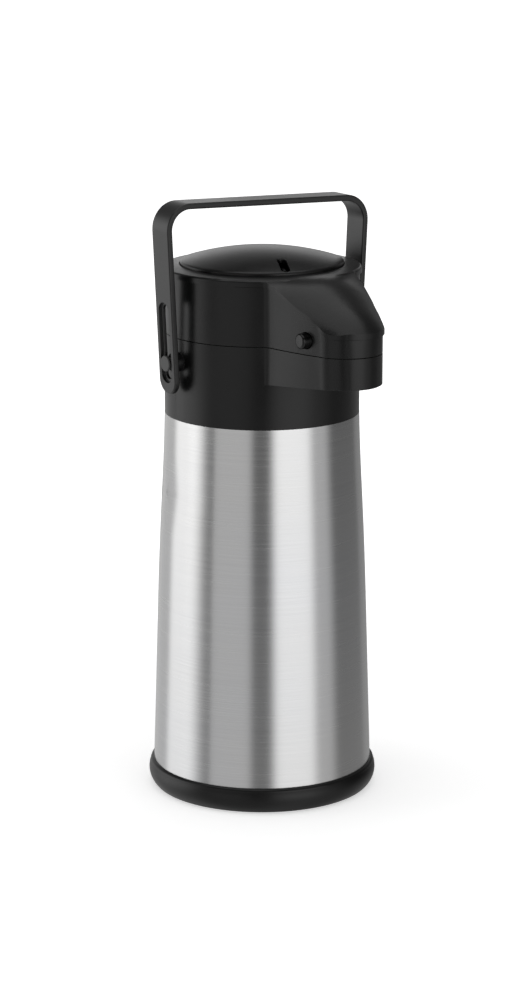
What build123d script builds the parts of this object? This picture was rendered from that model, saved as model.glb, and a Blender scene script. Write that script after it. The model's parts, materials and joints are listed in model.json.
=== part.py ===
from build123d import *
import math
import os

# Insulated pump airpot with a hinged lid, a press-down pump and a strap handle.
# Millimetres, +Z up. The origin is the centre of the foot's underside, and the spout points to -Y.

# ---------------------------------------------------------------- driving dimensions
# heights along the body
FOOT_RUBBER = 1.0          # rubber ring under the foot
PLATE_TOP = 3.2            # top of the swivel foot plate
FLOOR_Z = 4.0              # underside of the base ring's floor
RING_TOP = 16.6            # top of the black base ring
STEEL_TOP = 244.9          # where the steel ends and the black collar begins
PARTING = 296.8            # where the lid meets the collar
SEAM_Z = 338.9             # seam between the lid and the pump button
CROWN_Z = 349.0            # top of the pump button
# radii
STEEL_FOOT_R = 70.0
STEEL_HEAD_R = 61.6
COLLAR_R = 61.5
RIM_R = 62.5               # rim of the lid cover
BUTTON_R = 51.45           # pump button
LIP_R = 51.95              # hole in the lid cover for the button
BULGE_R = 73.1             # widest point of the base ring
NECK_R = 34.0              # neck of the flask
MOUTH_R = 31.2             # clear mouth of the flask
# walls and gaps
WALL = 2.2                 # moulded plastic wall
SHEET = 0.8                # steel sheet
BODY_GAP = 0.15            # half of the gap at the parting line
# spout
NOSE_Y = -114.1
SPOUT_FLOOR_BACK = 273.0   # underside of the spout at the collar
SPOUT_FLOOR_NOSE = 277.6   # underside of the spout near the nose
SWEEP_RIM_Z = 334.0        # lower edge of the lid cover round the collar
SWEEP_NOSE_Z = 308.3       # lower edge of the lid cover at the nose
PIPE_Z = 288.5
PIPE_R = 4.0
PIPE_BORE = 3.0
NOZZLE_Y = -103.0
DIP_Y = -26.0
# lid hinge
HINGE_Y = 65.5
KNUCKLE_R = 3.4
HINGE_PIN_R = 1.5
# release buttons
RELEASE_Y = -85.6
RELEASE_Z = 305.5
RELEASE_R = 4.8
RELEASE_FACE_X = 30.0
RELEASE_SEAT_X = 17.6      # where a release spring bears on its button
# lock slider in the button's slot
LOCK_ANGLE = 14.5          # place of the slot's middle, from -Y towards -X, degrees
LOCK_TURN = 9.0            # the slot turned by this much from the radial direction, degrees
LOCK_MIDDLE = 40.7         # distance of the slot's middle from the axis
# handle
PIVOT_Z = 282.5
STRAP_W = 18.5
STRAP_T = 3.8
ARM_OUT_X = 70.8           # outer face of an arm at the pivot's height
ARM_LEAN = 0.05            # arms part by this much for each mm of height
BAR_TOP = 382.5            # top of the bar at its -X end
RACK = 5.0                 # the strap sits racked: its +X arm lies this much lower
CORNER_R = 16.5            # outer radius of the strap's top corners
ARM_END = 263.1
SLOT_R, SLOT_LOW, SLOT_HIGH = 3.8, 272.5, 319.2
RECESS_R, RECESS_LOW, RECESS_HIGH = 5.9, 270.2, 320.8
RECESS_DEPTH = 1.7
PIN_HEAD_IN, PIN_HEAD_OUT = 70.6, 72.0
PIN_R = 3.4
PIN_HEAD_R = 5.0
BOSS_R = 6.0
BOSS_END_X = 66.4
RUNNING = 0.05             # radial clearance of a turning pin

BASE = (Align.CENTER, Align.CENTER, Align.MIN)


# ---------------------------------------------------------------- helpers
def rod(radius, low, high, x=0.0, y=0.0):
    """Upright round rod from z = low to z = high."""
    return Pos(x, y, low) * Cylinder(radius, high - low, align=BASE)


def tube(outer, inner, low, high, x=0.0, y=0.0):
    """Upright tube with plain ends."""
    return rod(outer, low, high, x, y) - rod(inner, low - 1, high + 1, x, y)


def block(x0, x1, y0, y1, z0, z1):
    """Box given by its limits."""
    return Pos((x0 + x1) / 2, (y0 + y1) / 2, (z0 + z1) / 2) * Box(x1 - x0, y1 - y0, z1 - z0)


def across(radius, x0, x1, y, z):
    """Round rod lying along X."""
    middle = Pos((x0 + x1) / 2, y, z)
    return middle * Rot(0, 90, 0) * Cylinder(radius, abs(x1 - x0))


def turned(edges):
    """Solid of revolution about Z of a closed outline drawn in the XZ plane."""
    return revolve(make_face(Wire(edges)), Axis.Z)


def polygon(*points):
    """Edges of a closed polygon in the XZ plane, from (radius, height) pairs."""
    corners = [Vector(r, 0, z) for r, z in points]
    return [Line(a, b) for a, b in zip(corners, corners[1:] + corners[:1])]


def prism(plan, low, high):
    """Extrude a plan (drawn at z = 0) from low to high."""
    return Pos(0, 0, low) * extrude(plan, high - low)


def around(count, start=0.0):
    """Angles in degrees of count equal steps round the axis."""
    return [start + 360.0 * i / count for i in range(count)]


def polar(radius, angle):
    """X and Y at an angle in degrees from +X."""
    return radius * math.cos(math.radians(angle)), radius * math.sin(math.radians(angle))


# ---------------------------------------------------------------- shared outlines
def spout_plan(grow=0.0):
    """Plan of the spout seen from above, with rounded roots at the collar, grown outwards by grow."""
    root_in, root_mid, side_back = (36.2, -49.0), (32.0, -53.3), (30.7, -57.0)
    side_mid, side_end = (28.05, -73.2), (22.1, -95.7)
    corner_mid, nose_end = (18.25, -104.9), (11.5, -110.6)

    def left(p):
        return (-p[0], p[1])

    edges = [
        ThreePointArc(root_in, root_mid, side_back),
        ThreePointArc(side_back, side_mid, side_end),
        ThreePointArc(side_end, corner_mid, nose_end),
        ThreePointArc(nose_end, (0, NOSE_Y), left(nose_end)),
        ThreePointArc(left(nose_end), left(corner_mid), left(side_end)),
        ThreePointArc(left(side_end), left(side_mid), left(side_back)),
        ThreePointArc(left(side_back), left(root_mid), left(root_in)),
        Line(left(root_in), root_in),
    ]
    plan = make_face(Wire(edges))
    return offset(plan, amount=grow) if grow else plan


def head_plan(grow=0.0):
    """Plan of the collar and lid: a circle with the spout joined on."""
    return Circle(COLLAR_R + grow) + spout_plan(grow)


def below_sweep(lift=0.0):
    """Solid below the line where the lid cover's edge sweeps down to the nose, raised by lift."""
    rim_z, nose_z, low = SWEEP_RIM_Z + lift, SWEEP_NOSE_Z + lift, 280.0
    back, front, wide = 90.0, -125.0, 90.0
    bend_start = (0, -49.6, rim_z)
    curve = Spline(
        bend_start,
        (0, -72.8, 326.9 + lift),
        (0, -92.4, 317.2 + lift),
        (0, -107.1, nose_z),
        tangents=[(0, -1, 0), (0, -1, 0)],
    )
    edges = [
        Line((0, back, rim_z), bend_start),
        curve,
        Line(curve @ 1, (0, front, nose_z)),
        Line((0, front, nose_z), (0, front, low)),
        Line((0, front, low), (0, back, low)),
        Line((0, back, low), (0, back, rim_z)),
    ]
    side = make_face(Wire(edges))
    return Pos(-wide, 0, 0) * extrude(side, 2 * wide, dir=(1, 0, 0))


def steel_profile(inset):
    """Outline of the steel body with its shoulder and neck, set in by inset, closed on the axis."""
    top = STEEL_TOP - inset
    wall = Spline(
        (STEEL_FOOT_R - inset, 0, 15.6),
        (67.0 - inset, 0, 113.0),
        (64.8 - inset, 0, 172.0),
        (62.15 - inset, 0, 226.0),
        (STEEL_HEAD_R - inset, 0, top),
    )
    ledge_r = 58.8 - inset
    shoulder_end = Vector(NECK_R + 4.0 - inset, 0, 262.0 - inset)
    low = 9.0 - inset
    return [
        Line((0, 0, low), (STEEL_FOOT_R - inset, 0, low)),
        Line((STEEL_FOOT_R - inset, 0, low), wall @ 0),
        wall,
        Line(wall @ 1, (ledge_r, 0, top)),
        ThreePointArc((ledge_r, 0, top), (52.5 - inset, 0, 256.5 - inset), shoulder_end),
        Line(shoulder_end, (NECK_R - inset, 0, 265.0 - inset)),
        Line((NECK_R - inset, 0, 265.0 - inset), (NECK_R - inset, 0, 277.0 + inset)),
        Line((NECK_R - inset, 0, 277.0 + inset), (0, 0, 277.0 + inset)),
        Line((0, 0, 277.0 + inset), (0, 0, low)),
    ]


def flask_profile(inset):
    """Outline of the inner flask set in by inset, closed on the axis."""
    wall = Spline(
        (64.2 - inset, 0, 40.0),
        (62.0 - inset, 0, 113.0),
        (59.8 - inset, 0, 172.0),
        (55.6 - inset, 0, 236.0),
    )
    shoulder_end = Vector(35.5 - inset, 0, 256.5 - inset)
    neck = MOUTH_R + SHEET - inset
    return [
        Line((0, 0, 24.0 + inset), (50.0, 0, 24.0 + inset)),
        ThreePointArc((50.0, 0, 24.0 + inset), (60.4 - inset * 0.7, 0, 28.9 + inset * 0.7), wall @ 0),
        wall,
        ThreePointArc(wall @ 1, (48.6 - inset * 0.8, 0, 251.8 - inset * 0.8), shoulder_end),
        Line(shoulder_end, (neck, 0, 261.0 - inset)),
        Line((neck, 0, 261.0 - inset), (neck, 0, 277.0 + inset)),
        Line((neck, 0, 277.0 + inset), (0, 0, 277.0 + inset)),
        Line((0, 0, 277.0 + inset), (0, 0, 24.0 + inset)),
    ]


# ---------------------------------------------------------------- swivel foot
def foot_ring():
    return tube(62.0, 54.0, 0.0, FOOT_RUBBER)


def turntable_plate():
    """Round foot plate with a raised hub and a counterbore for the pivot screw."""
    hub_top = FLOOR_Z
    plate = rod(65.0, FOOT_RUBBER, PLATE_TOP) + rod(11.0, 0.6, hub_top)
    plate -= rod(3.0 + RUNNING, 0, 10)
    plate -= rod(7.2, 0, 2.9)
    return plate


def foot_cap():
    """Rubber plug under the hub, which covers the pivot screw and stands on the table."""
    return rod(12.0, 0.0, 0.6) + rod(6.8, 0.6, 0.85)


def glide_ring():
    """Slippery ring that carries the body on the foot plate."""
    return tube(60.0, 50.0, PLATE_TOP, FLOOR_Z)


# ---------------------------------------------------------------- body
def base_ring():
    """Bulged plastic ring with a floor and a boss for the pivot screw."""
    foot_edge = 69.6
    outer = [
        Line((0, 0, 0.8), (foot_edge, 0, 0.8)),
        ThreePointArc((foot_edge, 0, 0.8), (BULGE_R, 0, 7.8), (72.2, 0, RING_TOP - 2.2)),
        ThreePointArc((72.2, 0, RING_TOP - 2.2), (71.5, 0, RING_TOP - 0.6), (70.2, 0, RING_TOP)),
        Line((70.2, 0, RING_TOP), (0, 0, RING_TOP)),
        Line((0, 0, RING_TOP), (0, 0, 0.8)),
    ]
    floor_top = FLOOR_Z + 2.5
    ring = turned(outer)
    ring -= rod(66.0, 0, FLOOR_Z)
    ring -= rod(66.5, floor_top, 30)
    ring -= rod(STEEL_FOOT_R + 0.05, 8.9, 30)
    boss = tube(7.0, 2.2, floor_top, 12.6)
    ribs = [
        Rot(0, 0, a) * block(6.5, 60.0, -1.0, 1.0, floor_top, 10.0)
        for a in around(8)
    ]
    ring += boss
    for rib in ribs:
        ring += rib
    return ring - rod(2.2, 0, 20)


def swivel_screw():
    """Shouldered screw on which the foot turns."""
    head = rod(5.6, 0.9, 2.3)
    head -= block(-4.5, 4.5, -0.6, 0.6, 0, 1.6)
    head -= block(-0.6, 0.6, -4.5, 4.5, 0, 1.6)
    return head + rod(3.0, 2.3, FLOOR_Z) + rod(2.2, FLOOR_Z, 12.0)


def swivel_washer():
    return tube(6.6, 3.0, 2.3, 2.9)


def flask_cushion():
    """Rubber ring between the base ring's ribs and the steel bottom."""
    return tube(56.0, 48.0, 10.0, 13.0)


def shell_bottom():
    """Pressed steel cap that closes the vacuum space from below."""
    rim_r = STEEL_FOOT_R - SHEET - 0.05
    cap = tube(rim_r, rim_r - SHEET, 9.0, 15.0) + rod(rim_r, 14.2, 15.0)
    dish = tube(58.0, 57.2, 13.0, 14.6) + rod(58.0, 13.0, 13.8) - rod(57.2, 13.8, 16)
    return cap + dish


def outer_shell():
    """Brushed steel body, one sheet thick, open at the bottom and the neck."""
    shell = turned(steel_profile(0)) - turned(steel_profile(SHEET))
    return shell - rod(STEEL_FOOT_R - SHEET, 0, 9.5)


def inner_flask():
    """Steel liner of the vacuum flask, welded to the outer neck at its lip."""
    liner = turned(flask_profile(0)) - turned(flask_profile(SHEET))
    lip = tube(35.4, MOUTH_R, 277.0, 277.8)
    return liner + lip


def mouth_gasket():
    return tube(35.2, MOUTH_R + 0.3, 277.8, 279.3)


def neck_ring():
    """Ring nut that clamps the collar's deck to the flask's neck."""
    ring = tube(41.5, NECK_R + 0.02, 272.0, 276.6)
    for a in around(24):
        x, y = polar(41.9, a)
        ring -= rod(1.0, 270, 280, x, y)
    return ring


def spout_box():
    """Solid of the spout below the parting line, with its sloping underside."""
    top = PARTING - BODY_GAP
    box = prism(spout_plan(), 268.0, top)
    back, bend, front, low = -20.0, -106.0, -125.0, 260.0
    slope = make_face(Wire([
        Line((0, back, low), (0, back, SPOUT_FLOOR_BACK - 2.4)),
        Line((0, back, SPOUT_FLOOR_BACK - 2.4), (0, bend, SPOUT_FLOOR_NOSE)),
        Line((0, bend, SPOUT_FLOOR_NOSE), (0, front, SPOUT_FLOOR_NOSE - 0.6)),
        Line((0, front, SPOUT_FLOOR_NOSE - 0.6), (0, front, low)),
        Line((0, front, low), (0, back, low)),
    ]))
    return box - Pos(-90, 0, 0) * extrude(slope, 180, dir=(1, 0, 0))


def collar():
    """Plastic collar: wall, deck, lower half of the spout, handle bosses and hinge knuckles."""
    top = PARTING - BODY_GAP
    inner_r = COLLAR_R - 2.3
    low = STEEL_TOP + 0.05
    wall = rod(COLLAR_R, low, top)
    body = wall + spout_box()
    # hollow of the collar, and the trough of the spout
    body -= rod(inner_r, low - 1, top + 1)
    trough = prism(spout_plan(-WALL), 281.0, top + 1)
    body -= trough - rod(inner_r, 270, 300) - block(-40, 40, -64.0, 0, 270, 300)
    body -= block(-9, 9, -66, -50, 283.5, 300)
    # deck round the neck
    body += tube(inner_r + 0.4, NECK_R + 0.3, 269.5, 272.0)
    # outlet hole in the spout's floor
    body -= rod(6.2, 270, 290, 0, NOZZLE_Y)
    # catches beside the release hooks
    for s in (-1, 1):
        reach = sorted((s * 20.6, s * 23.0))
        body += block(*reach, RELEASE_Y - 3, RELEASE_Y + 3, 293.4, top)
    # bosses for the handle pins
    for s in (-1, 1):
        body += across(BOSS_R, s * 60.0, s * BOSS_END_X, 0, PIVOT_Z)
        body -= across(PIN_R + RUNNING, s * 50.0, s * 72.0, 0, PIVOT_Z)
    # hinge knuckles
    for x0, x1 in ((-12.3, -5.3), (5.3, 12.3)):
        body += block(x0, x1, 60.0, HINGE_Y, 290.5, top)
        body += across(KNUCKLE_R, x0, x1, HINGE_Y, PARTING)
    body -= across(HINGE_PIN_R, -20, 20, HINGE_Y, PARTING)
    return body


def hinge_pin():
    return across(HINGE_PIN_R, -12.3, 12.3, HINGE_Y, PARTING)


def tube_head():
    """Stopper that holds the dip tube, the air cup and the delivery pipe's socket."""
    flange_low, flange_top = 279.3, 282.0
    head = rod(36.6, flange_low, flange_top)
    head += tube(15.6, 13.0, flange_top, 288.0)
    head += rod(6.0, flange_top, 294.0, 0, DIP_Y)
    head += rod(5.0, 268.0, flange_low, 0, DIP_Y)
    socket = Pos(0, -37.0, PIPE_Z) * Rot(-90, 0, 0) * Cylinder(6.0, 11.0, align=BASE)
    head += socket
    for a in around(6, 30):
        x, y = polar(8.0, a)
        head -= rod(1.6, 270, 290, x, y)
    head -= rod(PIPE_R + 0.02, 260, 284.0, 0, DIP_Y)
    head -= rod(PIPE_BORE, 280, PIPE_Z + 1.5, 0, DIP_Y)
    channel = Rot(-90, 0, 0) * Cylinder(PIPE_BORE, 30, align=BASE)
    head -= Pos(0, DIP_Y - 30, PIPE_Z) * channel
    socket_bore = Rot(-90, 0, 0) * Cylinder(PIPE_R + 0.02, 20, align=BASE)
    head -= Pos(0, -50.0, PIPE_Z) * socket_bore
    return head


def dip_tube():
    """Long tube down to the bottom of the flask, with a notched foot."""
    pipe = tube(PIPE_R, PIPE_BORE, 29.0, 284.0, 0, DIP_Y)
    return pipe - block(-10, 10, DIP_Y - 1.5, DIP_Y + 1.5, 25, 33)


def delivery_pipe():
    """Pipe from the tube head along the spout and down into the nozzle."""
    path = FilletPolyline((0, -30.2, PIPE_Z), (0, NOZZLE_Y, PIPE_Z), (0, NOZZLE_Y, 279.6), radius=6.5)
    start = Plane(origin=path @ 0, z_dir=path % 0)
    outside = sweep(start * Circle(PIPE_R), path=path)
    bore = sweep(start * Circle(PIPE_BORE), path=path)
    return outside - bore


def outlet_nozzle():
    """Drip nozzle in the spout's floor."""
    nozzle = rod(6.2, 277.6, 281.0, 0, NOZZLE_Y) + rod(7.6, 281.0, 281.8, 0, NOZZLE_Y)
    nozzle -= rod(PIPE_R + 0.02, 279.6, 290, 0, NOZZLE_Y)
    return nozzle - rod(3.2, 270, 290, 0, NOZZLE_Y)


# ---------------------------------------------------------------- lid
# one cross-section of the cover over the spout per row:
# y, half width at the shoulder, height of the shoulder, height of the crown
BEAK = (
    (-46.0, 34.0, 337.9, 338.9),
    (-58.0, 30.6, 336.0, 338.8),
    (-66.0, 29.4, 332.6, 338.2),
    (-73.0, 28.1, 328.9, 336.7),
    (-83.0, 25.9, 323.4, 332.6),
    (-96.0, 22.0, 316.6, 325.8),
    (-106.0, 17.6, 312.2, 319.9),
    (-113.0, 13.4, 309.6, 314.0),
    (-120.0, 10.0, 303.6, 306.0),
)
BEAK_LOW = 300.0


def beak_section(y, half, edge_z, crown_z):
    """Cross-section of the cover over the spout: an arch through (half, edge_z), drawn a little wider."""
    drop = crown_z - edge_z
    radius = (half ** 2 + drop ** 2) / (2 * drop)
    wide = half + 3.0
    wide_z = crown_z - radius + math.sqrt(radius ** 2 - wide ** 2)
    return make_face(Wire([
        Line((-wide, y, BEAK_LOW), (wide, y, BEAK_LOW)),
        Line((wide, y, BEAK_LOW), (wide, y, wide_z)),
        ThreePointArc((wide, y, wide_z), (0, y, crown_z), (-wide, y, wide_z)),
        Line((-wide, y, wide_z), (-wide, y, BEAK_LOW)),
    ]))


def cover_block(drop=0.0):
    """Solid under the lid cover's top surface, lowered by drop."""
    rim = turned([
        Line((0, 0, 300), (RIM_R, 0, 300)),
        Line((RIM_R, 0, 300), (RIM_R, 0, SEAM_Z - 2.4)),
        ThreePointArc((RIM_R, 0, SEAM_Z - 2.4), (62.0, 0, SEAM_Z - 1.4), (61.0, 0, SEAM_Z - 0.9)),
        Line((61.0, 0, SEAM_Z - 0.9), (52.0, 0, SEAM_Z)),
        Line((52.0, 0, SEAM_Z), (0, 0, SEAM_Z)),
        Line((0, 0, SEAM_Z), (0, 0, 300)),
    ])
    beak = loft([beak_section(*row) for row in BEAK])
    return Pos(0, 0, -drop) * (rim + beak)


def lid_cover():
    """Top of the lid: rim, beak over the spout, and the guide that the pump button runs in."""
    skirt_gap = 0.05
    cover = cover_block() & prism(head_plan(RIM_R - COLLAR_R), 300, 345)
    cavity = prism(head_plan(-1.2), 290, 345)
    cavity += rod(COLLAR_R + skirt_gap, 290, 345) & block(-90, 90, -41, 90, 290, 345)
    cover -= cover_block(WALL) & cavity
    cover -= below_sweep()
    cover -= rod(LIP_R, 290, 350)
    lip_z = SEAM_Z - 8.5
    cover += tube(55.8, LIP_R, lip_z, SEAM_Z - 1.0) + tube(55.8, 54.2, 302.0, lip_z)
    for a in around(4, 45):
        x, y = polar(57.5, a)
        cover += rod(1.75, 300.2, SEAM_Z - 2.5, x, y) - rod(1.0, 290, 312, x, y)
    return cover - lock_place() * block(-4.4, 4.4, 50.0, 57.0, 334.7, 338.2)


def lid_shell():
    """Side wall of the lid, flush with the collar, with the upper half of the spout."""
    low = PARTING + BODY_GAP
    wall = prism(head_plan(), low, 345) - prism(head_plan(-WALL), low - 1, 346)
    wall &= below_sweep(-BODY_GAP) + block(-90, 90, -40, 90, 290, SWEEP_RIM_Z + 1.6)
    wall += block(-5.0, 5.0, 60.0, HINGE_Y, low + 0.2, 303.0)
    wall += across(KNUCKLE_R, -5.0, 5.0, HINGE_Y, PARTING)
    wall -= across(HINGE_PIN_R + RUNNING, -8, 8, HINGE_Y, PARTING)
    return wall - across(RELEASE_R + 0.3, -40, 40, RELEASE_Y, RELEASE_Z)


def lid_base():
    """Plate that closes the lid from below, with the seal hub and the release buttons' guide."""
    low, top = 298.0, 300.2
    plate = prism(head_plan(-WALL - 0.25), low, top)
    plate += tube(18.4, 12.5, 290.0, low)
    plate -= rod(16.3, 280, 293.0)
    plate += block(-7, 7, RELEASE_Y - 4, RELEASE_Y + 4, top, RELEASE_Z + 4)
    plate -= across(2.06, -10, 10, RELEASE_Y, RELEASE_Z)
    for s in (-1, 1):
        slot = sorted((s * 13.6, s * 20.6))
        plate -= block(*slot, RELEASE_Y - 3.6, RELEASE_Y + 3.6, low - 1, top + 1)
    for a in around(6):
        x, y = polar(7.0, a)
        plate -= rod(1.5, 290, 310, x, y)
    plate -= rod(1.5, 290, 310)
    for a in around(4, 45):
        x, y = polar(57.2, a)
        plate -= rod(1.3, 290, 310, x, y)
    return plate


def lid_screws():
    """Four screws that hold the base plate to the lid cover."""
    screws = []
    for a in around(4, 45):
        x, y = polar(57.5, a)
        head = rod(1.6, 296.9, 298.0, x, y) - block(x - 1.2, x + 1.2, y - 0.25, y + 0.25, 296, 297.4)
        screws.append(head + rod(1.0, 298.0, 309.0, x, y))
    return Compound(screws)


def lid_seal():
    """Silicone ring pressed on the air cup when the lid is shut."""
    return tube(16.2, 12.6, 288.0, 293.0)


def air_valve():
    """Silicone umbrella valve under the air holes."""
    return rod(10.0, 297.0, 298.0) + rod(1.5, 298.0, 301.6) + rod(2.2, 300.2, 301.6)


def bellows():
    """Corrugated air bellows, drawn at rest."""
    low, high, folds = 300.2, 332.6, 6
    outer_r, root_r, wall = 46.0, 40.0, 1.2
    pitch = (high - low) / folds
    outside, inside = [], []
    for i in range(folds):
        outside += [(root_r, low + i * pitch), (outer_r, low + (i + 0.5) * pitch)]
        inside += [(root_r - wall, low + i * pitch), (outer_r - wall, low + (i + 0.5) * pitch)]
    outside.append((root_r, high))
    inside.append((root_r - wall, high))
    return turned(polygon(*outside, *reversed(inside)))


def coil(radius, wire, low, high, turns):
    """Helical spring with its axis along Z, from z = low to z = high."""
    height = high - low - 2 * wire
    helix = Helix(height / turns, height, radius, center=(0, 0, low + wire))
    start = Plane(origin=helix @ 0, z_dir=helix % 0)
    return sweep(start * Circle(wire), path=helix)


def pump_spring():
    return coil(26.0, 1.0, 300.2, 332.6, 6)


# ---------------------------------------------------------------- pump button
def lock_place():
    """Frame of the lock slider: its +Y runs outwards along the slot."""
    middle = Pos(0, LOCK_MIDDLE, 0)
    return Rot(0, 0, 180 - LOCK_ANGLE) * middle * Rot(0, 0, -LOCK_TURN) * Pos(0, -LOCK_MIDDLE, 0)


def pump_button():
    """Domed button with a skirt, a retaining flange, three posts and the lock slider's slot."""
    edge_z = SEAM_Z + 2.3
    flange_z = SEAM_Z - 8.5
    outer = turned([
        Line((0, 0, flange_z - 2.2), (BUTTON_R, 0, flange_z - 2.2)),
        Line((BUTTON_R, 0, flange_z - 2.2), (BUTTON_R, 0, edge_z - 1.4)),
        ThreePointArc((BUTTON_R, 0, edge_z - 1.4), (51.0, 0, edge_z - 0.5), (50.0, 0, edge_z + 0.1)),
        ThreePointArc((50.0, 0, edge_z + 0.1), (26.0, 0, CROWN_Z - 2.1), (0, 0, CROWN_Z)),
        Line((0, 0, CROWN_Z), (0, 0, flange_z - 2.2)),
    ])
    inner_r = BUTTON_R - 2.0
    inner = turned([
        Line((0, 0, 320), (inner_r, 0, 320)),
        Line((inner_r, 0, 320), (inner_r, 0, edge_z - 2.4)),
        ThreePointArc((inner_r, 0, edge_z - 2.4), (25.5, 0, CROWN_Z - 4.6), (0, 0, CROWN_Z - 2.3)),
        Line((0, 0, CROWN_Z - 2.3), (0, 0, 320)),
    ])
    button = outer - inner
    button += tube(53.8, inner_r, flange_z - 2.2, flange_z)
    ceiling = turned([
        Line((0, 0, 334.6), (inner_r, 0, 334.6)),
        Line((inner_r, 0, 334.6), (inner_r, 0, edge_z - 2.2)),
        ThreePointArc((inner_r, 0, edge_z - 2.2), (25.5, 0, CROWN_Z - 4.4), (0, 0, CROWN_Z - 2.1)),
        Line((0, 0, CROWN_Z - 2.1), (0, 0, 334.6)),
    ])
    for a in around(3, 90):
        x, y = polar(36.0, a)
        button += (rod(3.6, 334.6, 350, x, y) & ceiling) - rod(1.25, 330, 341, x, y)
    # rails of the lock slider, its slot and its window in the skirt
    rails = block(-6.6, -4.5, 26.0, 48.2, 335.2, 349) + block(4.5, 6.6, 26.0, 48.2, 335.2, 349)
    button += lock_place() * rails & ceiling
    slot = block(-2.9, 2.9, 33.9, 47.5, 336, 352)
    for y in (33.9, 47.5):
        slot += Pos(0, y, 336) * Cylinder(2.9, 16, align=BASE)
    button -= lock_place() * slot
    return button - lock_place() * block(-4.4, 4.4, 46.0, 53.0, 334.7, 338.2)


def lock_slider():
    """Slider that blocks the pump stroke: a flat tongue with a thumb rib standing in the slot."""
    tongue = block(-4.1, 4.1, 34.0, 50.6, 335.0, 337.9)
    rib = block(-0.9, 0.9, 36.0, 44.0, 337.9, 341.2)
    pad = block(-2.3, 2.3, 35.0, 43.9, 337.9, 338.9)
    return lock_place() * (tongue + pad + rib)


def pump_plate():
    """Plate that presses on the bellows and the spring."""
    plate = rod(45.5, 332.6, 334.6) - rod(3.0, 330, 336)
    for a in around(3, 90):
        x, y = polar(36.0, a)
        plate -= rod(1.6, 330, 336, x, y)
    return plate


def plate_screws():
    """Three screws that hold the plate to the button's posts."""
    screws = []
    for a in around(3, 90):
        x, y = polar(36.0, a)
        head = rod(2.6, 331.2, 332.6, x, y) - block(x - 2, x + 2, y - 0.3, y + 0.3, 330, 331.8)
        screws.append(head + rod(1.25, 332.6, 340.0, x, y))
    return Compound(screws)


# ---------------------------------------------------------------- release buttons
def release_button(side):
    """Round push button in the spout's side wall, with a collar, a stem and a hook. side is -1 or 1."""
    y, z = RELEASE_Y, RELEASE_Z
    face, flange, seat = RELEASE_FACE_X, 19.3, RELEASE_SEAT_X
    stud = across(RELEASE_R, flange, face, y, z)
    stud = fillet(stud.edges().filter_by(GeomType.CIRCLE).sort_by(Axis.X)[-1], 1.5)
    button = stud + across(5.9, seat, flange, y, z) + across(2.0, 4.0, seat, y, z)
    button += block(seat, flange, y - 2.5, y + 2.5, 291.0, z - 3)
    button += block(seat, 20.3, y - 2.5, y + 2.5, 291.0, 292.9)
    return button if side > 0 else mirror(button, Plane.YZ)


def release_spring(side):
    """Small return spring on a release button's stem."""
    spring = coil(3.3, 0.35, 7.0, RELEASE_SEAT_X, 6)
    spring = Pos(0, RELEASE_Y, RELEASE_Z) * Rot(0, 90, 0) * spring
    return spring if side > 0 else mirror(spring, Plane.YZ)


# ---------------------------------------------------------------- handle
def arm_x(z, depth=0.0):
    """X of an arm's outer face at height z, set in by depth."""
    return ARM_OUT_X + ARM_LEAN * (z - PIVOT_Z) - depth


def strap_outline(depth, corner):
    """Closed outline of the bail in the XZ plane, set in by depth, with rounded top corners."""
    low, high_end = 250.0, BAR_TOP - depth
    low_end = high_end - RACK
    feet = arm_x(low, depth)
    corners = ((-feet, low), (feet, low), (arm_x(low_end, depth), low_end), (-arm_x(high_end, depth), high_end))
    outline = make_face(Wire(polygon(*corners)))
    return fillet(outline.vertices().sort_by(Axis.Z)[-2:], corner)


def handle_bail():
    """Strap handle: two slotted arms and a bar, cut from one bent strap."""
    strap = strap_outline(0, CORNER_R) - strap_outline(STRAP_T, CORNER_R - STRAP_T)
    bail = extrude(strap, STRAP_W / 2, both=True)
    # round the feet of the arms
    foot = STRAP_W / 2
    for x0, x1, end in ((-100, -30, ARM_END), (30, 100, ARM_END - RACK)):
        bail -= block(x0, x1, -foot - 1, foot + 1, 240, end + foot) - across(foot, x0, x1, 0, end + foot)
    bail = chamfer(bail.edges().filter_by(GeomType.LINE).filter_by(lambda e: e.length > 60), 0.6)
    # stepped slots for the pins: a narrow slot through, and a wider recess in the outer face
    lean = math.degrees(math.atan(ARM_LEAN))
    middle = (RECESS_LOW + RECESS_HIGH) / 2
    through = slot_bar(SLOT_R, SLOT_LOW, SLOT_HIGH, 60.0, 80.0)
    recess = Pos(0, 0, -middle) * slot_bar(RECESS_R, RECESS_LOW, RECESS_HIGH, 0.0, 12.0)
    recess = Pos(arm_x(middle, RECESS_DEPTH), 0, middle) * Rot(0, lean, 0) * recess
    for cut in (through, recess):
        bail -= mirror(cut, Plane.YZ)
        bail -= Pos(-ARM_LEAN * RACK, 0, -RACK) * cut
    return bail


def slot_bar(radius, low, high, x0, x1):
    """Round-ended bar lying along X, tall from z = low to z = high."""
    bottom, top = low + radius, high - radius
    bar = block(x0, x1, -radius, radius, bottom, top)
    return bar + across(radius, x0, x1, 0, bottom) + across(radius, x0, x1, 0, top)


def handle_pin(side):
    """Headed pin that holds an arm to its boss."""
    head = across(PIN_HEAD_R, PIN_HEAD_IN, PIN_HEAD_OUT, 0, PIVOT_Z)
    head = fillet(head.edges().filter_by(GeomType.CIRCLE).sort_by(Axis.X)[-1], 0.6)
    pin = head + across(PIN_R, 56.5, PIN_HEAD_IN, 0, PIVOT_Z)
    pin -= across(PIN_R + 1, 57.2, 58.0, 0, PIVOT_Z) - across(2.6, 56, 59, 0, PIVOT_Z)
    return pin if side > 0 else mirror(pin, Plane.YZ)


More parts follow.
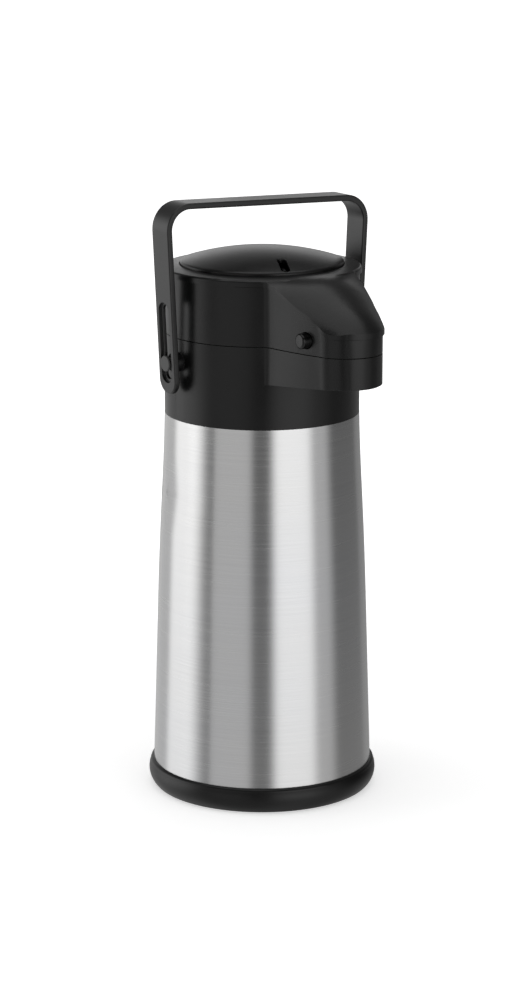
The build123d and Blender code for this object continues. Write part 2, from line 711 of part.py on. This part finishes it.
def pin_clips():
    """Two spring clips in the pins' grooves, inside the collar."""
    clip = across(5.4, 57.2, 58.0, 0, PIVOT_Z) - across(2.6, 56, 59, 0, PIVOT_Z)
    clip -= block(56, 59, -2.0, 2.0, PIVOT_Z - 8, PIVOT_Z)
    return Compound([clip, mirror(clip, Plane.YZ)])


# ---------------------------------------------------------------- write every piece
PARTS = {
    "foot_ring": foot_ring,
    "turntable_plate": turntable_plate,
    "foot_cap": foot_cap,
    "glide_ring": glide_ring,
    "base_ring": base_ring,
    "swivel_screw": swivel_screw,
    "swivel_washer": swivel_washer,
    "flask_cushion": flask_cushion,
    "shell_bottom": shell_bottom,
    "outer_shell": outer_shell,
    "inner_flask": inner_flask,
    "mouth_gasket": mouth_gasket,
    "neck_ring": neck_ring,
    "collar": collar,
    "hinge_pin": hinge_pin,
    "tube_head": tube_head,
    "dip_tube": dip_tube,
    "delivery_pipe": delivery_pipe,
    "outlet_nozzle": outlet_nozzle,
    "lid_cover": lid_cover,
    "lid_shell": lid_shell,
    "lid_base": lid_base,
    "lid_screws": lid_screws,
    "lid_seal": lid_seal,
    "air_valve": air_valve,
    "bellows": bellows,
    "pump_spring": pump_spring,
    "pump_button": pump_button,
    "pump_plate": pump_plate,
    "plate_screws": plate_screws,
    "lock_slider": lock_slider,
    "release_button_left": lambda: release_button(-1),
    "release_button_right": lambda: release_button(1),
    "release_spring_left": lambda: release_spring(-1),
    "release_spring_right": lambda: release_spring(1),
    "handle_pin_left": lambda: handle_pin(-1),
    "handle_pin_right": lambda: handle_pin(1),
    "pin_clips": pin_clips,
    "handle_bail": handle_bail,
}

os.makedirs("parts", exist_ok=True)
for name, make in PARTS.items():
    export_step(make(), f"parts/{name}.step")
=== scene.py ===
import json
import math

import bpy
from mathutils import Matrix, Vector


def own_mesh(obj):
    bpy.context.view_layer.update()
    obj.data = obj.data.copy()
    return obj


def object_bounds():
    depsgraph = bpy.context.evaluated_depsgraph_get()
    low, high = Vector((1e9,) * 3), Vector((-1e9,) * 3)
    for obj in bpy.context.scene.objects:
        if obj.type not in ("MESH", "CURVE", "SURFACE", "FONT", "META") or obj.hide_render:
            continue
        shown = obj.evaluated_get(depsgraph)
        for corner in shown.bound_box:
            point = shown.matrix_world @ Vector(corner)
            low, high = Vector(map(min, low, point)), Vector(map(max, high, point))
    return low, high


# Looks of an insulated pump airpot: brushed steel body, satin black plastics, strap handle.
# Metres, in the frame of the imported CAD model: +Z up, the spout points to -Y.

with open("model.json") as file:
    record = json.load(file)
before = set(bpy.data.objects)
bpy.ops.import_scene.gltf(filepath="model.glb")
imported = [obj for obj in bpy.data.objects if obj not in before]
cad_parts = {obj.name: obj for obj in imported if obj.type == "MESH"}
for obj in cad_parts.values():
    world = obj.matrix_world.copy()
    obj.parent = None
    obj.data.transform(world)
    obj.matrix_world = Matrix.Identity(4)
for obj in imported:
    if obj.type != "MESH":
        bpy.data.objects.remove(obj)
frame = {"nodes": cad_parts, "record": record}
cad_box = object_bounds()
nodes = frame["nodes"]

# ---------------------------------------------------------------- driving values
VIEW_AZIMUTH = -33.4        # degrees round the object, 0 looks along +Y
VIEW_DOWN = 13.72           # degrees below the horizontal
VIEW_DISTANCE = 1.9466
AIM_BELOW_MIDDLE = 0.00475  # the camera aims this far below the middle of the object's height
LENS = 109.98
SENSOR = 36.0
CLIP = (0.01, 100.0)

# upright panels round the studio, as a photographer would set them: the azimuths in degrees from +X where
# each starts and ends, and its radiance; between two panels the light changes smoothly
PANELS = [
    (-175, -140, 0.7),      # pale wall to the left of the camera
    (-130, -118, 0.05),     # narrow black flag round the camera
    (-104, -72, 1.7),       # key light to the right of the camera
    (-58, -48, 0.65),       # its spill
    (-32, 10, 0.05),        # wide black flag on the right
    (20, 40, 0.2),          # dim wall behind it
    (72, 110, 0.7),         # rear wall
    (122, 150, 1.75),       # second key light at the left rear
    (175, 180, 0.2),        # gap beside it
]
RAMP_FULL = 2.6             # radiance at the white end of the ramp
PANEL_MEAN = 0.52           # radiance that the panels fade to towards the floor
CEILING = 0.16              # radiance above the panels
# fades by the height of the view direction, which is -1 straight down and 1 straight up:
# where the fade starts, where it ends, and how much of the panels it replaces there
FLOOR_FADE = (-0.06, -0.42, 0.75)
CEILING_FADE = (0.20, 0.50, 1.0)

# rectangular lights: name, place, aim, size and power in watts
SOFTBOXES = [
    ("top_softbox", (0, 0, 2.2), (0, 0, 0.1), (2.4, 2.4), 20.0),
    ("left_softbox", (-1.9, 0.9, 0.9), (0, 0, 0.2), (0.9, 1.6), 3.0),
    ("rear_softbox", (1.25, 1.9, 0.75), (0, 0, 0.33), (1.6, 0.6), 1.6),
    ("front_fill", (-0.3, -2.4, 1.0), (0, 0, 0.2), (1.6, 1.2), 1.5),
]

FLOOR_HALF = 30.0
FLOOR_SHADE = 0.9
FLOOR_ROUGHNESS = 0.9
FLOOR_SHINE = 0.1
# the floor's own glow, weaker under the object so that its contact shadow shows:
# distances from the centre where it starts and stops rising, and its strength at each
FLOOR_GLOW = (0.1, 0.8, 0.55, 0.95)

STEEL_TAPER = 0.037         # the steel body narrows by this much for each unit of height
ROUND = 0.00025             # rounding of the visible mouldings' sharp edges
SHARP = math.radians(32)    # edges that turn more than this are rounded
WELD = 0.000002             # vertices closer than this are one
ROUNDED = (
    "collar", "lid_shell", "lid_cover", "pump_button", "handle_bail", "lock_slider",
    "release_button_left", "release_button_right", "handle_pin_left", "handle_pin_right",
)
CLAMPED = ("lid_cover",)    # has edges shorter than the rounding


# ---------------------------------------------------------------- camera and studio
def make_camera():
    """Camera that looks down at the object's axis from one side of the spout."""
    low, high = cad_box
    aim = Vector((0, 0, (low.z + high.z) / 2 - AIM_BELOW_MIDDLE))
    turn, tilt = math.radians(VIEW_AZIMUTH), math.radians(VIEW_DOWN)
    back = Vector((math.sin(turn) * math.cos(tilt), -math.cos(turn) * math.cos(tilt), math.sin(tilt)))
    data = bpy.data.cameras.new("camera")
    data.lens, data.sensor_width, data.sensor_fit = LENS, SENSOR, "AUTO"
    data.clip_start, data.clip_end = CLIP
    camera = bpy.data.objects.new("camera", data)
    bpy.context.scene.collection.objects.link(camera)
    camera.location = aim + back * VIEW_DISTANCE
    camera.rotation_mode = "QUATERNION"
    camera.rotation_quaternion = (-back).to_track_quat("-Z", "Y")
    bpy.context.scene.camera = camera


def make_world():
    """Studio of upright panels all round; the camera itself sees a plain white backdrop."""
    world = bpy.data.worlds.new("studio")
    bpy.context.scene.world = world
    world.use_nodes = True
    tree = world.node_tree
    tree.nodes.clear()
    new, link = tree.nodes.new, tree.links.new

    def fade(height, start, end, amount):
        """Nought at one height of the view direction and the given amount at another."""
        node = new("ShaderNodeMapRange")
        for key, value in zip(("From Min", "From Max", "To Min", "To Max"), (start, end, 0.0, amount)):
            node.inputs[key].default_value = value
        link(height, node.inputs["Value"])
        return node.outputs["Result"]

    def blend(factor, below, radiance):
        """Colour below faded towards a plain radiance by the factor."""
        level = radiance / RAMP_FULL
        node = new("ShaderNodeMix")
        node.data_type = "RGBA"
        link(factor, node.inputs[0])
        link(below, node.inputs[6])
        node.inputs[7].default_value = (level, level, level, 1)
        return node.outputs[2]

    out = new("ShaderNodeOutputWorld")
    coord = new("ShaderNodeTexCoord")
    split = new("ShaderNodeSeparateXYZ")
    link(coord.outputs["Generated"], split.inputs[0])
    angle = new("ShaderNodeMath")
    angle.operation = "ARCTAN2"
    link(split.outputs["Y"], angle.inputs[0])
    link(split.outputs["X"], angle.inputs[1])
    share = new("ShaderNodeMapRange")
    share.inputs["From Min"].default_value = -math.pi
    share.inputs["From Max"].default_value = math.pi
    link(angle.outputs[0], share.inputs["Value"])
    ramp = new("ShaderNodeValToRGB")
    ramp.color_ramp.interpolation = "EASE"
    stops = ramp.color_ramp.elements
    while len(stops) > 1:
        stops.remove(stops[-1])
    ends = [(azimuth, radiance) for start, end, radiance in PANELS for azimuth in (start, end)]
    for i, (azimuth, radiance) in enumerate(ends):
        place = (azimuth + 180.0) / 360.0
        stop = stops[0] if i == 0 else stops.new(place)
        stop.position = place
        level = radiance / RAMP_FULL
        stop.color = (level, level, level, 1)
    link(share.outputs["Result"], ramp.inputs["Fac"])
    height = split.outputs["Z"]
    colour = blend(fade(height, *FLOOR_FADE), ramp.outputs["Color"], PANEL_MEAN)
    colour = blend(fade(height, *CEILING_FADE), colour, CEILING)
    panels = new("ShaderNodeBackground")
    panels.inputs["Strength"].default_value = RAMP_FULL
    link(colour, panels.inputs["Color"])
    backdrop = new("ShaderNodeBackground")
    backdrop.inputs["Color"].default_value = (1, 1, 1, 1)
    path = new("ShaderNodeLightPath")
    mix = new("ShaderNodeMixShader")
    link(path.outputs["Is Camera Ray"], mix.inputs["Fac"])
    link(panels.outputs[0], mix.inputs[1])
    link(backdrop.outputs[0], mix.inputs[2])
    link(mix.outputs[0], out.inputs["Surface"])


def make_softbox(name, place, aim, size, power):
    """Rectangular studio light facing the aim point."""
    data = bpy.data.lights.new(name, "AREA")
    data.shape = "RECTANGLE"
    data.size, data.size_y = size
    data.energy = power
    light = bpy.data.objects.new(name, data)
    bpy.context.scene.collection.objects.link(light)
    light.location = place
    light.rotation_mode = "QUATERNION"
    light.rotation_quaternion = (Vector(aim) - Vector(place)).to_track_quat("-Z", "Y")


def make_floor():
    """Plain pale floor."""
    mesh = bpy.data.meshes.new("floor")
    size = FLOOR_HALF
    corners = [(-size, -size, 0), (size, -size, 0), (size, size, 0), (-size, size, 0)]
    mesh.from_pydata(corners, [], [(0, 1, 2, 3)])
    floor = bpy.data.objects.new("floor", mesh)
    bpy.context.scene.collection.objects.link(floor)
    material = bpy.data.materials.new("floor_white")
    material.use_nodes = True
    shader = material.node_tree.nodes["Principled BSDF"]
    shader.inputs["Base Color"].default_value = (FLOOR_SHADE, FLOOR_SHADE, FLOOR_SHADE, 1)
    shader.inputs["Roughness"].default_value = FLOOR_ROUGHNESS
    shader.inputs["Specular IOR Level"].default_value = FLOOR_SHINE
    shader.inputs["Emission Color"].default_value = (1, 1, 1, 1)
    links, new = material.node_tree.links, material.node_tree.nodes.new
    distance = new("ShaderNodeVectorMath")
    distance.operation = "LENGTH"
    links.new(new("ShaderNodeTexCoord").outputs["Object"], distance.inputs[0])
    glow = new("ShaderNodeMapRange")
    for key, value in zip(("From Min", "From Max", "To Min", "To Max"), FLOOR_GLOW):
        glow.inputs[key].default_value = value
    links.new(distance.outputs["Value"], glow.inputs["Value"])
    links.new(glow.outputs["Result"], shader.inputs["Emission Strength"])
    mesh.materials.append(material)
    floor.visible_glossy = False


# ---------------------------------------------------------------- materials
class Surface:
    """Node tree of one material, with short ways to add what most finishes need."""

    def __init__(self, name, roughness, metallic=0.0, **constants):
        self.material = bpy.data.materials.new(name)
        self.material.use_nodes = True
        self.tree = self.material.node_tree
        self.shader = self.tree.nodes["Principled BSDF"]
        self.shader.inputs["Roughness"].default_value = roughness
        self.shader.inputs["Metallic"].default_value = metallic
        for key, value in constants.items():
            self.shader.inputs[key.replace("_", " ")].default_value = value
        self.coord = self.tree.nodes.new("ShaderNodeTexCoord").outputs["Object"]
        self.normal = None

    def noise(self, scale, detail=3.0, stretch=(1, 1, 1), roughness=0.5):
        """Noise over the object's own metres: scale is in cells per metre."""
        mapping = self.tree.nodes.new("ShaderNodeMapping")
        mapping.inputs["Scale"].default_value = [scale * s for s in stretch]
        self.tree.links.new(self.coord, mapping.inputs["Vector"])
        noise = self.tree.nodes.new("ShaderNodeTexNoise")
        noise.inputs["Scale"].default_value = 1.0
        noise.inputs["Detail"].default_value = detail
        noise.inputs["Roughness"].default_value = roughness
        self.tree.links.new(mapping.outputs[0], noise.inputs["Vector"])
        return noise.outputs["Fac"]

    def ramp(self, factor, low, high, start=0.3, end=0.7):
        """Colour or grey that runs from low to high as the factor goes from start to end."""
        ramp = self.tree.nodes.new("ShaderNodeValToRGB")
        for stop, place, value in zip(ramp.color_ramp.elements, (start, end), (low, high)):
            stop.position = place
            stop.color = (*value, 1) if isinstance(value, tuple) else (value, value, value, 1)
        self.tree.links.new(factor, ramp.inputs["Fac"])
        return ramp.outputs["Color"]

    def range(self, factor, low, high, start=0.3, end=0.7):
        """Number that runs from low to high as the factor goes from start to end."""
        node = self.tree.nodes.new("ShaderNodeMapRange")
        for key, value in zip(("From Min", "From Max", "To Min", "To Max"), (start, end, low, high)):
            node.inputs[key].default_value = value
        self.tree.links.new(factor, node.inputs["Value"])
        return node.outputs["Result"]

    def mix(self, factor, a, b, blend="MIX"):
        """Colours a and b, each a socket or a colour, mixed by the factor, a socket or a number."""
        node = self.tree.nodes.new("ShaderNodeMix")
        node.data_type, node.blend_type = "RGBA", blend
        if isinstance(factor, float):
            node.inputs[0].default_value = factor
        else:
            self.tree.links.new(factor, node.inputs[0])
        for place, value in ((6, a), (7, b)):
            if isinstance(value, tuple):
                node.inputs[place].default_value = (*value, 1)
            else:
                self.tree.links.new(value, node.inputs[place])
        return node.outputs[2]

    def add(self, a, b):
        """Sum of two number sockets."""
        node = self.tree.nodes.new("ShaderNodeMath")
        node.operation = "ADD"
        self.tree.links.new(a, node.inputs[0])
        self.tree.links.new(b, node.inputs[1])
        return node.outputs[0]

    def edges(self, start=0.52, end=0.62):
        """One on convex edges, nought elsewhere."""
        geometry = self.tree.nodes.new("ShaderNodeNewGeometry")
        return self.range(geometry.outputs["Pointiness"], 0.0, 1.0, start, end)

    def vector(self, operation, a, b=None):
        """Vector maths on a socket and, if the operation takes two, a constant."""
        node = self.tree.nodes.new("ShaderNodeVectorMath")
        node.operation = operation
        self.tree.links.new(a, node.inputs[0])
        if b is not None:
            node.inputs[1].default_value = b
        return node.outputs["Vector"]

    def cone_normal(self, taper):
        """Normal of an upright cone round the Z axis, which narrows upwards by the taper."""
        outward = self.vector("NORMALIZE", self.vector("MULTIPLY", self.coord, (1, 1, 0)))
        normal = self.vector("NORMALIZE", self.vector("ADD", outward, (0, 0, taper)))
        turn = self.tree.nodes.new("ShaderNodeVectorTransform")
        turn.vector_type, turn.convert_from, turn.convert_to = "NORMAL", "OBJECT", "WORLD"
        self.tree.links.new(normal, turn.inputs[0])
        return turn.outputs[0]

    def colour(self, socket):
        """The shader's base colour."""
        self.tree.links.new(socket, self.shader.inputs["Base Color"])

    def rough(self, socket):
        """The shader's roughness."""
        self.tree.links.new(socket, self.shader.inputs["Roughness"])

    def bump(self, socket, distance):
        """Relief of the given depth, on top of the normal so far."""
        node = self.tree.nodes.new("ShaderNodeBump")
        node.inputs["Strength"].default_value = 1.0
        node.inputs["Distance"].default_value = distance
        self.tree.links.new(socket, node.inputs["Height"])
        if self.normal is not None:
            self.tree.links.new(self.normal, node.inputs["Normal"])
        self.normal = node.outputs["Normal"]
        self.tree.links.new(self.normal, self.shader.inputs["Normal"])


def grey(level):
    return (level, level, level)


def around(value, spread):
    """Limits of a value that wavers by the spread to each side."""
    return value - spread, value + spread


def plastic(name, dark, light, roughness, shine=0.34):
    """Moulded plastic with an eroded-tool grain, slow shade changes, and convex edges painted lighter:
    partly wear, partly a painted highlight.
    """
    slow_cells, grain_cells, grain_depth = 22.0, 1700.0, 0.00002
    darkest_speck, edge_wear_and_highlight, polish = 0.86, 0.004, 0.03
    smoother, rougher = 0.03, 0.04
    s = Surface(name, roughness, Specular_IOR_Level=shine)
    slow = s.noise(slow_cells, 4.0)
    grain = s.noise(grain_cells, 2.0)
    speck = s.ramp(grain, darkest_speck, 1.0, 0.35, 0.65)
    body = s.mix(1.0, s.ramp(slow, grey(dark), grey(light)), speck, "MULTIPLY")
    # convex edges painted lighter: partly wear, partly a painted highlight
    s.colour(s.mix(s.edges(), body, grey(light + edge_wear_and_highlight)))
    cloudy = s.range(slow, roughness - smoother, roughness + rougher)
    s.rough(s.add(cloudy, s.range(grain, *around(0.0, polish))))
    s.bump(grain, grain_depth)
    return s.material


def brushed_steel(name):
    """Steel brushed round the body: hair lines run level, so highlights stretch up and down."""
    shade, roughness, hair_depth = 0.62, 0.25, 0.0000025
    darker, lighter, smoother, rougher, polish = 0.04, 0.03, 0.015, 0.02, 0.015
    round_cells, hair_cells = 14, 3200
    streak_round_cells, streak_cells, cloud_cells = 9, 620, 9.0
    s = Surface(name, roughness, 1.0, Anisotropic=0.8, Anisotropic_Rotation=0.25)
    tangent = s.tree.nodes.new("ShaderNodeTangent")
    tangent.direction_type, tangent.axis = "RADIAL", "Z"
    s.tree.links.new(tangent.outputs[0], s.shader.inputs["Tangent"])
    s.normal = s.cone_normal(STEEL_TAPER)
    hair = s.noise(1.0, 4.0, (round_cells, round_cells, hair_cells), 0.6)
    streak = s.noise(1.0, 3.0, (streak_round_cells, streak_round_cells, streak_cells), 0.55)
    cloud = s.noise(cloud_cells, 3.0)
    base = s.ramp(hair, grey(shade - darker), grey(shade + lighter), 0.25, 0.75)
    tone = s.ramp(streak, (0.965, 0.965, 0.97), grey(1.0))
    base = s.mix(1.0, base, tone, "MULTIPLY")
    warmth = s.ramp(cloud, (0.985, 0.99, 1.0), (1.0, 0.995, 0.985))
    s.colour(s.mix(1.0, base, warmth, "MULTIPLY"))
    wavering = s.range(streak, roughness - smoother, roughness + rougher)
    s.rough(s.add(wavering, s.range(hair, *around(0.0, polish))))
    s.bump(hair, hair_depth)
    return s.material


def plain_steel(name, shade, roughness, tint=(1.0, 1.0, 1.0)):
    """Turned or pressed metal with fine machining marks and light stains."""
    round_cells, mark_cells, cloud_cells, mark_depth = 500, 2600, 60.0, 0.00001
    darker, lighter, smoother, rougher = 0.08, 0.05, 0.05, 0.08
    s = Surface(name, roughness, 1.0)
    marks = s.noise(1.0, 3.0, (round_cells, round_cells, mark_cells))
    cloud = s.noise(cloud_cells, 4.0)
    low = tuple((shade - darker) * c for c in tint)
    high = tuple((shade + lighter) * c for c in tint)
    s.colour(s.mix(0.5, s.ramp(cloud, low, high), s.ramp(marks, low, high)))
    s.rough(s.range(cloud, roughness - smoother, roughness + rougher))
    s.bump(marks, mark_depth)
    return s.material


def rubber(name, dark, light, roughness):
    """Rubber or silicone: matt, with a powdery bloom."""
    bloom_cells, grain_cells, grain_depth = 75.0, 2600.0, 0.00003
    s = Surface(name, roughness)
    bloom = s.noise(bloom_cells, 5.0)
    grain = s.noise(grain_cells, 2.0)
    s.colour(s.mix(0.35, s.ramp(bloom, dark, light), s.ramp(grain, dark, light)))
    s.rough(s.range(bloom, *around(roughness, 0.05)))
    s.bump(grain, grain_depth)
    return s.material


FINISHES = {
    "brushed_steel": brushed_steel("brushed_steel"),
    "flask_steel": plain_steel("flask_steel", 0.6, 0.24),
    "moulded_black": plastic("moulded_black", 0.0018, 0.0028, 0.36),
    "collar_black": plastic("collar_black", 0.0018, 0.0026, 0.31),
    "cover_black": plastic("cover_black", 0.0020, 0.0030, 0.31),
    "handle_black": plastic("handle_black", 0.0040, 0.0055, 0.34, 0.5),
    "trim_black": plastic("trim_black", 0.0016, 0.0024, 0.27),
    "pin_grey": plastic("pin_grey", 0.030, 0.042, 0.38),
    "inner_grey": plastic("inner_grey", 0.11, 0.14, 0.5),
    "glide_white": plastic("glide_white", 0.66, 0.72, 0.42),
    "silicone": rubber("silicone", (0.55, 0.56, 0.56), (0.66, 0.67, 0.67), 0.5),
    "bellows_rubber": rubber("bellows_rubber", grey(0.02), grey(0.035), 0.62),
    "foot_rubber": rubber("foot_rubber", grey(0.015), grey(0.03), 0.75),
    "zinc_steel": plain_steel("zinc_steel", 0.55, 0.32, (1.0, 0.99, 0.95)),
}
SLOTS = {entry["node"]: entry["material_slot"] for entry in frame["record"]["subparts"]}


# ---------------------------------------------------------------- CAD nodes
def dress(node):
    """Give a CAD node its finish."""
    piece = nodes[node]
    slot = SLOTS[node]
    piece.data.materials.clear()
    piece.data.materials.append(FINISHES[slot])


def round_edges(node):
    """Round a moulding's sharp edges and shade it smoothly."""
    piece = nodes[node]
    weld = piece.modifiers.new("weld", "WELD")
    weld.merge_threshold = WELD
    bevel = piece.modifiers.new("bevel", "BEVEL")
    bevel.limit_method, bevel.angle_limit = "ANGLE", SHARP
    bevel.width, bevel.segments = ROUND, 2
    bevel.use_clamp_overlap = node in CLAMPED
    bevel.miter_outer = "MITER_ARC"
    bevel.harden_normals = False
    normals = piece.modifiers.new("normals", "WEIGHTED_NORMAL")
    normals.keep_sharp = False


def shorten(node):
    """Give a bellows or spring its own copy of its mesh."""
    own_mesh(nodes[node])


make_camera()
make_world()
for softbox in SOFTBOXES:
    make_softbox(*softbox)
make_floor()
for name in nodes:
    dress(name)
for name in ROUNDED:
    round_edges(name)
shorten("bellows")
shorten("pump_spring")
shorten("release_spring_left")
shorten("release_spring_right")

bpy.context.scene.view_settings.view_transform = "Standard"
